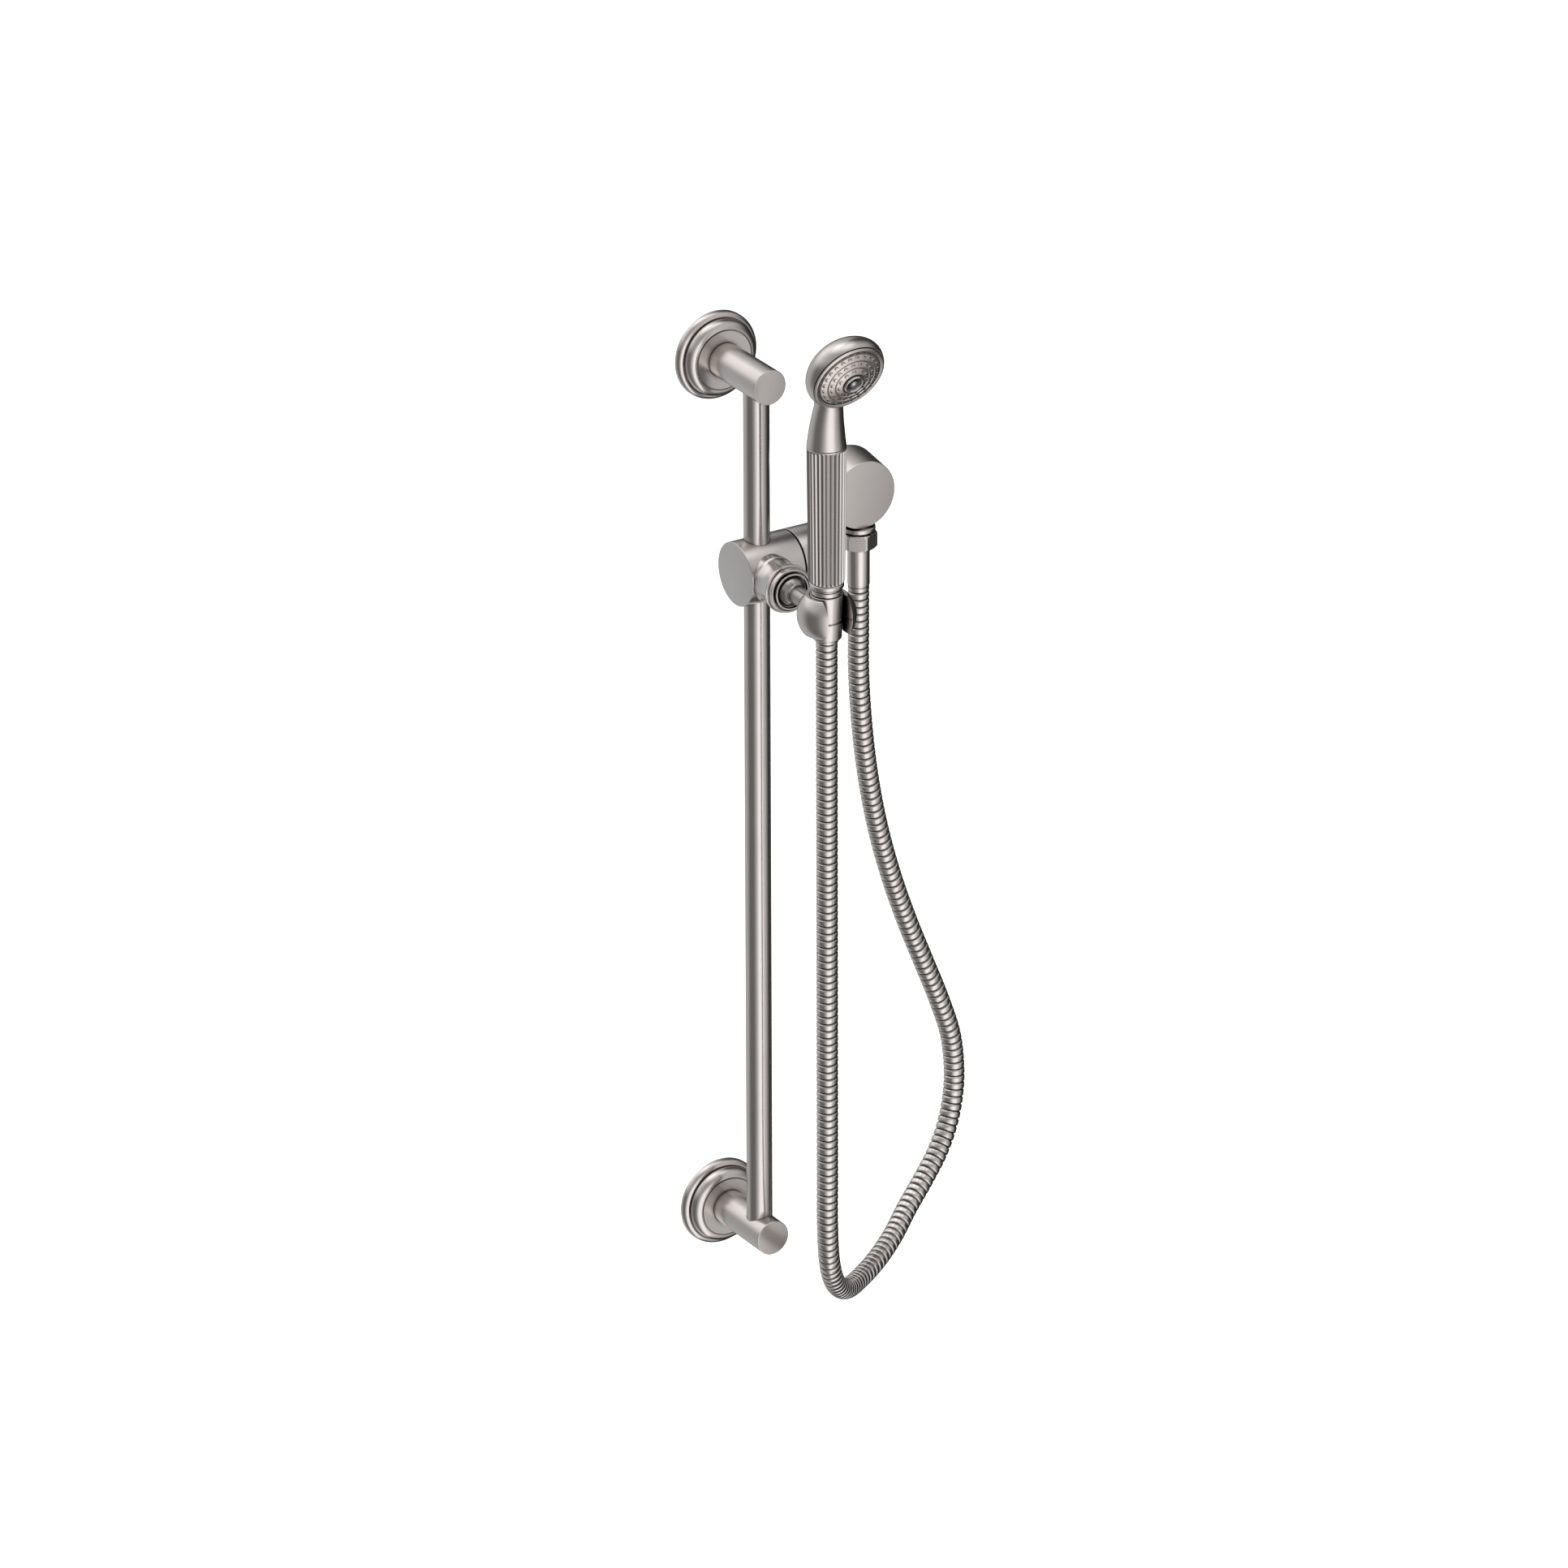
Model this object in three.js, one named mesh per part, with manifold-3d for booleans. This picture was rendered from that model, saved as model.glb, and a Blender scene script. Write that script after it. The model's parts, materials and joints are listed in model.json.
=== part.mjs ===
// Handheld shower set on a wall slide bar: two wall posts, a round bar, a clamping slider with a
// ball-jointed cradle, a lift-off handset, a metal hose and a wall supply elbow.
// Millimetres. +Z is up, +X runs along the wall, the wall is the plane y = 0 and the set stands out
// from it towards -Y. The origin is the middle of the lower wall plate's back face.
import * as THREE from 'three';
import { mergeVertices } from 'three/addons/utils/BufferGeometryUtils.js';
import Module from 'manifold-3d';

const wasm = await Module();
wasm.setup();

// ---- driving dimensions ----
const GAP = 0.3;                 // clearance left between neighbouring solids
const POST_SPACING = 609.6;      // 24 in between the two posts
const POST = { r: 12, length: 68.5, edge: 0.8 };
const PLATE = { r: 23, thick: 3, stubR: 7.5, stubEnd: 24, screwX: 17.8 };
const FLANGE = { r: 30.2, midR: 26.2, midZ: 5.6, faceR: 20.2, faceZ: 12.7, wall: 2 };
const BAR = { r: 8.6, bore: 7.2, out: 51.4, seat: 3 };
const SLIDER = { z: 476.8, r: 21.6, left: -16.4, right: 24, seam: 1.2, knobEnd: 47 };
const LINER = { inner: BAR.r + GAP, outer: 9.9, half: 18.5 };
const STUD = { threadR: 5.1, neckR: 4, start: 13.5, end: 37.7 };
const BALL = { out: 39.6, r: 10.5, stemR: 6, spigotR: 4 };
const HOUSING = { rootR: 15, lipR: 16.6, boreR: 13.2, floor: 24, front: 38.3, spigotR: 9 };
const RING = { r: 15.05, shoulder: 42.5, noseR: 12.5, face: 44.3, mouthR: 9.7 };
const CRADLE = { out: 137, r: 19.4, top: 13.9, bottom: -12, slotHalf: 9.2 };
const CONE = { bottom: 460.3, seam: 473, top: 491.3, bottomR: 9.7, topR: 10.9 };
const GRIP = { bottom: 500, top: 593.7, bottomR: 12, topR: 12.95, inner: 10.3, flutes: 30, depth: 0.55 };
const CORE = { r: 10, bore: 7.6, top: 600 };
const HEAD = { tilt: 23.4, rimY: -164.66, rimZ: 649.87, radial: 27.15, axial: 16.7, back: 6, wall: 2 };
const FACE = { plateR: 21.6, dome: [[21.6, 0.7], [16.8, 2.3], [12.1, 3.7], [7.3, 5]], thick: 1.6 };
const NOZZLES = [{ r: 19.3, count: 24 }, { r: 14.4, count: 18 }, { r: 9.7, count: 11 }];
const ELBOW = { x: 98, z: 497.5, backR: 26.2, frontR: 23.4, depth: 26, outletW: 18.75, bossR: 11.2 };
const HOSE = { r: 7.1, sides: 8, steps: 46 };

// The hose hangs from the handset's cone, turns up near the wall, bulges to the right of the bar and
// comes back to the outlet of the supply elbow.
const HOSE_ROUTE = [
  [0, -137, 457.5], [0, -137, 400], [0, -137, 330], [0, -137, 260], [0, -137, 190],
  [0, -137, 120], [0, -137, 75], [0, -137, 38], [4, -133, 9], [16, -121, -15],
  [34, -105, -31], [56, -87, -37], [78, -73, -35], [99, -60, -28], [118, -48, -17],
  [136, -39, -5], [152, -32, 9], [163, -27, 25], [169, -24, 42], [171.5, -22, 60],
  [169.5, -20.5, 87], [161, -19.5, 115], [149, -19, 146], [136, -18.75, 179], [123.5, -18.75, 215],
  [113, -18.75, 253], [105.5, -18.75, 291], [100.5, -18.75, 331], [98, -18.75, 371], [98, -18.75, 402],
  [98, -18.75, 431],
];

const BIG = 24;                  // segments round a large turned part
const SMALL = 14;                // segments round a small one
const FINISH = {
  nickel: { color: 0xa39d95, roughness: 0.32, metalness: 1 },
  brass: { color: 0xb8975a, roughness: 0.35, metalness: 1 },
  steel: { color: 0x9a9c9e, roughness: 0.4, metalness: 1 },
  acetal: { color: 0x2b2b2c, roughness: 0.55, metalness: 0 },
  white: { color: 0xe4e2dd, roughness: 0.5, metalness: 0 },
  rubber: { color: 0x1c1c1d, roughness: 0.8, metalness: 0 },
  nozzle: { color: 0x8d8985, roughness: 0.6, metalness: 0 },
};

// ---- geometry helpers ----
const rad = THREE.MathUtils.degToRad;

// A solid turned about +Z from [radius, height] points that run up the outside.
function turn(points, segments = BIG) {
  const profile = points.map(([r, z]) => new THREE.Vector2(r, z));
  return new THREE.LatheGeometry(profile, segments).rotateX(Math.PI / 2);
}

// A tube or washer: outer and inner radius between two heights.
function ring(outer, inner, z0, z1, segments = SMALL) {
  return turn([[inner, z0], [outer, z0], [outer, z1], [inner, z1], [inner, z0]], segments);
}

// A plain rod along +Z.
function rod(r, z0, z1, segments = SMALL) {
  return turn([[0, z0], [r, z0], [r, z1], [0, z1]], segments);
}

// A rod along +Y, the vertical of a group that faces out from the wall.
function uprightRod(r, y0, y1, segments = SMALL) {
  return rod(r, y0, y1, segments).rotateX(-Math.PI / 2);
}

// Points on a circular arc in the [radius, height] plane.
function arc(cr, cz, r, fromDeg, toDeg, steps) {
  return Array.from({ length: steps + 1 }, (_, i) => {
    const angle = rad(fromDeg + ((toDeg - fromDeg) * i) / steps);
    return [cr + r * Math.cos(angle), cz + r * Math.sin(angle)];
  });
}

function toManifold(geometry) {
  const bare = geometry.clone();
  bare.deleteAttribute('normal');
  bare.deleteAttribute('uv');
  const merged = mergeVertices(bare, 1e-4);
  return new wasm.Manifold(new wasm.Mesh({
    numProp: 3,
    vertProperties: new Float32Array(merged.attributes.position.array),
    triVerts: new Uint32Array(merged.index.array),
  }));
}

function fromManifold(manifold) {
  const mesh = manifold.getMesh();
  const geometry = new THREE.BufferGeometry();
  geometry.setAttribute('position', new THREE.BufferAttribute(new Float32Array(mesh.vertProperties), 3));
  geometry.setIndex(new THREE.BufferAttribute(new Uint32Array(mesh.triVerts), 1));
  geometry.computeVertexNormals();
  return geometry;
}

function cut(base, ...tools) {
  return fromManifold(tools.reduce((left, tool) => left.subtract(toManifold(tool)), toManifold(base)));
}

function join(base, ...others) {
  return fromManifold(others.reduce((sum, other) => sum.add(toManifold(other)), toManifold(base)));
}

const set = new THREE.Group();

function addPiece(parent, name, finish, geometry) {
  const mesh = new THREE.Mesh(geometry, new THREE.MeshStandardMaterial(FINISH[finish]));
  mesh.name = name;
  parent.add(mesh);
  return mesh;
}

function addGroup(parent, x, y, z) {
  const group = new THREE.Group();
  group.position.set(x, y, z);
  parent.add(group);
  return group;
}

// A group whose own +Z points out from the wall and whose +Y is up.
function addOutwardGroup(parent, x, y, z) {
  const group = addGroup(parent, x, y, z);
  group.rotation.x = Math.PI / 2;
  return group;
}

// ---- wall posts and bar ----
function plateScrew() {
  return turn([[0, GAP], [2, GAP], [2, 3.3], [3.6, 3.3], [3.6, 4.7], [2.4, 5.6], [0, 5.6]], 12);
}

function flangeShape() {
  const { r, midR, midZ, faceR, faceZ, wall } = FLANGE;
  const lowStep = r - midR;
  const highStep = midR - faceR;
  return turn([
    [r - wall, 0], [r, 0],
    ...arc(midR, midZ - lowStep, lowStep, 0, 90, 2),
    ...arc(faceR, faceZ - highStep, highStep, 0, 90, 2),
    [POST.r + GAP, faceZ], [POST.r + GAP, faceZ - wall], [faceR - 1, faceZ - wall],
    [midR - wall, faceZ - highStep], [midR - wall, midZ - wall], [r - wall, midZ - lowStep], [r - wall, 0],
  ]);
}

// The post slides over the plate's stub and holds one end of the bar in a blind cross bore.
function postShape(barSide) {
  const { r, length, edge } = POST;
  const stubBore = PLATE.stubR + GAP;
  const back = PLATE.thick + GAP;
  const stubEnd = PLATE.stubEnd + GAP;
  const blank = turn([
    [0, stubEnd], [stubBore, stubEnd], [stubBore, back], [r, back],
    [r, length - edge], [r - edge, length], [0, length],
  ]);
  const boreEnds = [-(BAR.seat + GAP) * barSide, 15 * barSide].sort((a, b) => a - b);
  const barBore = uprightRod(BAR.r + GAP, boreEnds[0], boreEnds[1], BIG).translate(0, 0, BAR.out);
  const screwBore = uprightRod(2.15, -13, -7, 12).translate(0, 0, 16);
  return cut(blank, barBore, screwBore);
}

function addWallMount(prefix, z, barSide) {
  const group = addOutwardGroup(set, 0, 0, z);
  const { r, thick, stubR, stubEnd, screwX } = PLATE;
  const plate = turn([[0, 0], [r, 0], [r, thick], [stubR, thick], [stubR, stubEnd], [0, stubEnd]]);
  const holes = [-screwX, screwX].map((x) => rod(2.3, -1, thick + 1, 12).translate(x, 0, 0));
  addPiece(group, `${prefix}_wall_plate`, 'steel', cut(plate, ...holes));
  addPiece(group, `${prefix}_plate_screw_left`, 'steel', plateScrew()).position.x = -screwX;
  addPiece(group, `${prefix}_plate_screw_right`, 'steel', plateScrew()).position.x = screwX;
  addPiece(group, `${prefix}_flange`, 'nickel', flangeShape());
  addPiece(group, `${prefix}_post`, 'nickel', postShape(barSide));
  addPiece(group, `${prefix}_set_screw`, 'steel', uprightRod(1.85, -11.6, -8.1, 12)).position.z = 16;
}

function addBar() {
  const bar = ring(BAR.r, BAR.bore, -BAR.seat, POST_SPACING + BAR.seat, BIG);
  addPiece(addGroup(set, 0, -BAR.out, 0), 'slide_bar', 'nickel', bar);
}

// ---- slider: turned about the X axis, so its own +Z is the set's +X ----
function addSlider() {
  const group = addGroup(set, 0, -BAR.out, SLIDER.z);
  addPiece(group, 'slider_liner', 'acetal', ring(LINER.outer, LINER.inner, -LINER.half, LINER.half, BIG));

  const { r, left, right, seam, knobEnd } = SLIDER;
  const sideways = (geometry) => geometry.rotateY(Math.PI / 2);
  const body = sideways(turn([[0, left], [r - 0.6, left], [r, left + 0.6], [r, right], [0, right]]));
  const barBore = rod(LINER.outer + GAP, -30, 30, BIG);
  const studBore = sideways(rod(STUD.threadR + GAP, 5, right + 1));
  const socket = rod(HOUSING.spigotR + GAP, 13, 30).rotateX(Math.PI / 2);
  addPiece(group, 'slider_body', 'nickel', cut(body, barBore, studBore, socket));

  const pad = cut(sideways(rod(STUD.threadR, 8, 13.2)), rod(LINER.outer + GAP, -8, 8, BIG));
  addPiece(group, 'clamp_pad', 'acetal', pad);
  const knobStart = right + seam;
  addPiece(group, 'knob_washer', 'acetal', sideways(ring(19.5, 6, right + GAP, knobStart - GAP, BIG)));
  const neckStart = right - GAP;
  addPiece(group, 'knob_stud', 'steel', sideways(turn([
    [0, STUD.start], [STUD.threadR, STUD.start], [STUD.threadR, neckStart],
    [STUD.neckR, neckStart], [STUD.neckR, STUD.end], [0, STUD.end],
  ], SMALL)));
  const boreR = STUD.neckR + GAP;
  addPiece(group, 'lock_knob', 'nickel', sideways(turn([
    [0, STUD.end + GAP], [boreR, STUD.end + GAP], [boreR, knobStart], [r - 0.4, knobStart],
    [r, knobStart + 0.4], [r, knobEnd - 1.2], [r - 1.2, knobEnd], [0, knobEnd],
  ])));
}

// ---- ball joint on the slider's front: distances run outwards from the bar's axis ----
function addBallJoint() {
  const group = addOutwardGroup(set, 0, -BAR.out, SLIDER.z);
  const { rootR, lipR, boreR, floor, front, spigotR } = HOUSING;
  const saddle = rod(SLIDER.r + GAP, -30, 30, BIG).rotateY(Math.PI / 2);
  const shell = turn([
    [0, 15], [rootR, 15], [rootR, 31], [lipR, front - 0.4], [lipR - 0.4, front],
    [boreR, front], [boreR, floor], [0, floor],
  ]);
  addPiece(group, 'swivel_housing', 'nickel', join(cut(shell, saddle), rod(spigotR, 13.3, floor - 0.5)));
  addPiece(group, 'spring_washer', 'steel', ring(12.5, 6, floor + GAP, 26.2));

  const seatTop = 33.4;
  const cupR = BALL.r + GAP;
  const seatAngle = THREE.MathUtils.radToDeg(Math.asin((seatTop - BALL.out) / cupR));
  addPiece(group, 'ball_seat', 'acetal', turn([
    [0, 26.5], [12.9, 26.5], [12.9, seatTop], ...arc(0, BALL.out, cupR, seatAngle, -90, 6),
  ], 20));

  const mouthAngle = THREE.MathUtils.radToDeg(Math.acos(RING.mouthR / cupR));
  addPiece(group, 'ball_retaining_ring', 'nickel', turn([
    [cupR, 34], [12.9, 34], [12.9, front + GAP], [RING.r, front + GAP], [RING.r, RING.shoulder],
    [RING.noseR + 0.6, RING.shoulder], [RING.noseR, RING.shoulder + 0.6], [RING.noseR, RING.face],
    ...arc(0, BALL.out, cupR, mouthAngle, 0, 3), [cupR, 34],
  ]));

  const stemAngle = THREE.MathUtils.radToDeg(Math.acos(BALL.stemR / BALL.r));
  const cradleOut = CRADLE.out - BAR.out;
  const ballAndStem = turn([
    ...arc(0, BALL.out, BALL.r, -90, stemAngle, 9), [BALL.stemR, 69], [0, 69],
  ], 20);
  const clearSphere = new THREE.SphereGeometry(CRADLE.r + 0.5, 28, 18).translate(0, 0, cradleOut);
  const stud = join(cut(ballAndStem, clearSphere), rod(BALL.spigotR, 60, 70));
  addPiece(group, 'ball_stud', 'nickel', stud);
}

function addCradle() {
  const group = addGroup(set, 0, -CRADLE.out, SLIDER.z);
  const { r, top, bottom, slotHalf } = CRADLE;
  const ball = new THREE.SphereGeometry(r, 28, 16).rotateX(Math.PI / 2);
  const block = (z0, z1) => new THREE.BoxGeometry(60, 60, z1 - z0).translate(0, 0, (z0 + z1) / 2);
  const coneR = (z) => coneRadius(SLIDER.z + z) + 0.4;
  const bore = turn([
    [0, bottom - 5], [coneR(bottom - 5), bottom - 5], [coneR(top + 5), top + 5], [0, top + 5],
  ]);
  const slot = new THREE.BoxGeometry(2 * slotHalf, 30, 60).translate(0, -15, 0);
  const spigotBore = rod(BALL.spigotR + GAP, -30, -15.3).rotateX(Math.PI / 2);
  addPiece(group, 'cradle', 'nickel', cut(ball, block(top, 30), block(-30, bottom), bore, slot, spigotBore));
}

// ---- handset, on the vertical axis of the cradle ----
function coneRadius(z) {
  const { bottom, top, bottomR, topR } = CONE;
  return bottomR + ((topR - bottomR) * (z - bottom)) / (top - bottom);
}

function addHoseConnection(group) {
  const { bottom, seam, top } = CONE;
  const half = GAP / 2;
  addPiece(group, 'hose_ferrule', 'nickel', ring(7.5, 4.6, bottom - 2.5, bottom - GAP));
  addPiece(group, 'cone_collar', 'nickel', turn([
    [4.6, bottom], [9, bottom], [coneRadius(bottom), bottom + 0.7], [coneRadius(seam), seam - half],
    [4.6, seam - half], [4.6, bottom],
  ]));
  addPiece(group, 'hose_tail_handset', 'brass', ring(4.3, 3, bottom - 2.5, 477.5));
  addPiece(group, 'cone_nut', 'nickel', turn([
    [4.6, seam + half], [coneRadius(seam), seam + half], [coneRadius(top), top], [8.3, top],
    [8.3, 478], [4.6, 478], [4.6, seam + half],
  ]));
  addPiece(group, 'filter_washer', 'rubber', ring(7.9, 4.8, 478.3, 480.3));
}

// The grip is drawn in slightly between its flutes: every other point of the turned sleeve.
function flutedGrip() {
  const { bottom, top, bottomR, topR, inner, flutes, depth } = GRIP;
  const geometry = turn([
    [inner, bottom], [bottomR - 0.8, bottom], [bottomR, bottom + 1.5], [topR, top - 0.6],
    [topR - 0.5, top], [inner, top], [inner, bottom],
  ], flutes * 2);
  const position = geometry.attributes.position;
  const isFluted = (z) => z > bottom + 1 && z < top - 0.3;
  for (let i = 0; i < position.count; i += 1) {
    const [x, y, z] = [position.getX(i), position.getY(i), position.getZ(i)];
    const r = Math.hypot(x, y);
    const step = Math.round((Math.atan2(y, x) / Math.PI) * flutes);
    if (r > inner + 0.5 && isFluted(z) && Math.abs(step % 2) === 1) {
      position.setXY(i, (x * (r - depth)) / r, (y * (r - depth)) / r);
    }
  }
  return geometry;
}

function addGrip(group) {
  addPiece(group, 'inlet_adaptor', 'nickel', turn([
    [5, 480.6], [8, 480.6], [8, 491.6], [10, 491.6], [10, 494.4], [9.2, 494.7],
    [9.2, 495.6], [7.2, 495.6], [7.2, 511], [5, 511], [5, 480.6],
  ], 18));
  addPiece(group, 'check_valve', 'white', ring(4.7, 2.6, 484, 500));
  addPiece(group, 'grip_end_ring', 'nickel', turn([
    [7.6, 495.9], [10.6, 495.9], [11.3, 496.8], [11.3, 498.8], [10.7, 499.7], [7.6, 499.7], [7.6, 495.9],
  ]));
  addPiece(group, 'handle_core', 'brass', ring(CORE.r, CORE.bore, GRIP.bottom, CORE.top));
  addPiece(group, 'grip_sleeve', 'nickel', flutedGrip());
}

// The neck leans forward as it rises, so its sections move towards -Y with the square of the height.
function bendForward(geometry) {
  const position = geometry.attributes.position;
  for (let i = 0; i < position.count; i += 1) {
    const rise = Math.max(0, position.getZ(i) - 596);
    position.setY(i, position.getY(i) - 0.0038 * rise * rise);
  }
  return geometry;
}

// Puts a shape made on the face's own axis (+Z out of the nozzles) where the head is.
function onFace(geometry) {
  return geometry.rotateX(rad(90 + HEAD.tilt)).translate(0, HEAD.rimY + CRADLE.out, HEAD.rimZ);
}

function headShell() {
  const { radial, axial, back, wall } = HEAD;
  const ellipsoid = (shrink, segments) => {
    const ball = new THREE.SphereGeometry(1, segments, segments / 2 + 1).rotateX(Math.PI / 2);
    return onFace(ball.scale(radial - shrink, radial - shrink, axial - shrink).translate(0, 0, -back));
  };
  const neck = bendForward(turn([
    [0, 594], [12.9, 594], [12.9, 594.5], [11.75, 604], [10.45, 614], [9.5, 622], [9.6, 628],
    [9.8, 633], [8.8, 638], [6.2, 641.5], [0, 643],
  ]));
  const waterway = bendForward(turn([
    [0, CORE.top - 1], [7.2, CORE.top - 1], [7.2, 612], [6.4, 620], [6.4, 636.5], [0, 636.5],
  ], SMALL));
  const socket = rod(CORE.r + GAP, 590, CORE.top + GAP);
  const front = onFace(rod(radial, -0.9, 30, BIG));
  return cut(join(ellipsoid(0, 28), neck), ellipsoid(wall, 24), waterway, socket, front);
}

// Height of the domed face above the rim plane at a radius.
function domeHeight(r) {
  const points = FACE.dome;
  const i = points.findIndex(([pr]) => pr < r);
  if (i < 1) {
    return points.at(-1)[1];
  }
  const [[r0, h0], [r1, h1]] = [points[i - 1], points[i]];
  return h0 + ((h1 - h0) * (r - r0)) / (r1 - r0);
}

// One small square prism at each nozzle, between heights given as functions of the radius.
function nozzlePegs(r, low, high) {
  return NOZZLES.flatMap((row) => Array.from({ length: row.count }, (_, i) => {
    const angle = (2 * Math.PI * i) / row.count;
    const peg = rod(r, low(row.r), high(row.r), 4);
    return peg.translate(row.r * Math.cos(angle), row.r * Math.sin(angle), 0);
  }));
}

function sprayPlate() {
  const { dome, thick } = FACE;
  const hub = 2.1;
  const top = dome.at(-1)[1];
  const back = [...dome].reverse().map(([r, h]) => [r, h - thick]);
  const plate = turn([[hub, top - thick], ...back, ...dome, [hub, top], [hub, top - thick]]);
  return cut(plate, ...nozzlePegs(1.05, () => -3, () => 8));
}

function nozzleMat() {
  const below = FACE.thick + GAP;
  const thick = 1.2;
  const at = (r, drop) => [r, domeHeight(r) - drop];
  const sheet = turn([
    at(4.6, below + thick), at(12.1, below + thick), at(21.4, below + thick), at(21.4, below),
    at(16.8, below), at(12.1, below), at(7.3, below), at(4.6, below), at(4.6, below + thick),
  ]);
  return join(sheet, ...nozzlePegs(0.6, (r) => domeHeight(r) - below - 0.6, (r) => domeHeight(r) + 0.5));
}

function addHead(group) {
  addPiece(group, 'head_shell', 'nickel', headShell());
  addPiece(group, 'face_bezel', 'nickel', onFace(turn([
    [21.9, -2.6], [23.1, -2.6], [23.1, -0.6], [25.1, -0.6], [25.2, 0.1], [24, 0.9], [21.9, 0.6],
    [21.9, -2.6],
  ])));
  addPiece(group, 'spray_plate', 'nickel', onFace(sprayPlate()));
  addPiece(group, 'nozzle_mat', 'nozzle', onFace(nozzleMat()));
  addPiece(group, 'centre_cup', 'nickel', onFace(turn([
    [2.1, 5.3], [7, 5.3], [7.2, 6], [6.6, 6.8], [5.9, 6.6], [5.2, 5.9], [2.1, 5.7], [2.1, 5.3],
  ], 20)));
  addPiece(group, 'centre_screw', 'steel', onFace(turn([
    [0, -4], [1.6, -4], [1.6, 6], [3, 6], [2.8, 6.7], [1.8, 7.1], [0, 7.2],
  ], 12)));
  const distributor = turn([
    [0, -5.2], [21.8, -5.2], [21.8, -3.2], [4, -3.2], [4, 0.6], [1.9, 0.6], [1.9, -4.3], [0, -4.3],
  ], 18);
  const ports = Array.from({ length: 6 }, (_, i) => {
    const angle = rad(60 * i);
    return rod(2.6, -6, -2, 6).translate(13 * Math.cos(angle), 13 * Math.sin(angle), 0);
  });
  addPiece(group, 'water_distributor', 'white', onFace(cut(distributor, ...ports)));
  addPiece(group, 'head_o_ring', 'rubber', onFace(turn(arc(23.5, -4.2, 0.8, 0, 360, 6))));
}

function addHandset() {
  const group = addGroup(set, 0, -CRADLE.out, 0);
  addHoseConnection(group);
  addGrip(group);
  addHead(group);
}

// ---- wall supply elbow and the hose end on it ----
function elbowBody() {
  const { backR, frontR, depth, outletW, bossR } = ELBOW;
  const drum = turn([[0, 0], [backR, 0], [frontR, depth - 1.2], [frontR - 1.2, depth], [0, depth]]);
  const neck = uprightRod(7.1, -26.2, -14).translate(0, 0, outletW);
  const lip = uprightRod(bossR, -26.2, -23.6, BIG).translate(0, 0, outletW);
  const inlet = rod(10.6, -1, 13, BIG);
  const passage = rod(5.5, 12, 22);
  const outlet = uprightRod(6, -30, 3).translate(0, 0, outletW);
  const screwBore = uprightRod(2, -30, -8, 12).translate(0, 0, 5);
  return cut(join(drum, neck, lip), inlet, passage, outlet, screwBore);
}

// A rod with six sides is a hexagonal bar; a turned blank then chamfers both of its ends.
function hexNut(acrossFlats, y0, y1) {
  const hex = rod(acrossFlats / Math.sqrt(3), y0, y1, 6).rotateZ(rad(5.5));
  const chamfer = turn([
    [0, y0], [11.1, y0], [12.8, y0 + 1], [12.8, y1 - 1], [11.1, y1], [0, y1],
  ]);
  return fromManifold(toManifold(hex).intersect(toManifold(chamfer)));
}

function addElbow() {
  const outward = addOutwardGroup(set, ELBOW.x, 0, ELBOW.z);
  addPiece(outward, 'elbow_body', 'nickel', elbowBody());
  addPiece(outward, 'inlet_seal', 'rubber', ring(10.2, 6.2, 11, 12.7));
  addPiece(outward, 'elbow_set_screw', 'steel', uprightRod(1.7, -25, -11, 12)).position.z = 5;

  const group = addGroup(set, ELBOW.x, -ELBOW.outletW, ELBOW.z);
  addPiece(group, 'outlet_nipple', 'nickel', turn([
    [4, -31.9], [8.2, -31.9], [8.2, -27.1], [9.8, -27.1], [9.8, -26.5], [5.7, -26.5], [5.7, -17],
    [4, -17], [4, -31.9],
  ], SMALL));
  addPiece(group, 'hose_washer', 'rubber', ring(8.1, 4.5, -34.2, -32.2));
  const nut = hexNut(22, -38.6, -27.4);
  const nutBore = turn([[0, -40], [5.2, -40], [5.2, -36], [8.5, -36], [8.5, -25], [0, -25]]);
  addPiece(group, 'hose_nut', 'nickel', cut(nut, nutBore));
  addPiece(group, 'hose_tail_elbow', 'brass', turn([
    [3.2, -63], [4.9, -63], [4.9, -35.7], [7.9, -35.7], [7.9, -34.5], [3.2, -34.5], [3.2, -63],
  ], SMALL));
  addPiece(group, 'hose_sleeve', 'nickel', turn([
    [5.2, -66.2], [6.9, -66.2], [6.9, -64], [7.4, -63.4], [7.4, -38.9], [5.2, -38.9], [5.2, -66.2],
  ]));
}

function addHose() {
  const points = HOSE_ROUTE.map(([x, y, z]) => new THREE.Vector3(x, y, z));
  const section = new THREE.Shape(Array.from({ length: HOSE.sides }, (_, i) => {
    const angle = (2 * Math.PI * i) / HOSE.sides;
    return new THREE.Vector2(HOSE.r * Math.cos(angle), HOSE.r * Math.sin(angle));
  }));
  addPiece(set, 'hose', 'nickel', new THREE.ExtrudeGeometry(section, {
    steps: HOSE.steps,
    extrudePath: new THREE.CatmullRomCurve3(points, false, 'centripetal'),
  }));
}

addWallMount('lower', 0, 1);
addWallMount('upper', POST_SPACING, -1);
addBar();
addSlider();
addBallJoint();
addCradle();
addHandset();
addElbow();
addHose();

export default set;
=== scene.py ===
import bpy
import json
import math
import numpy as np
from mathutils import Matrix, Vector


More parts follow.
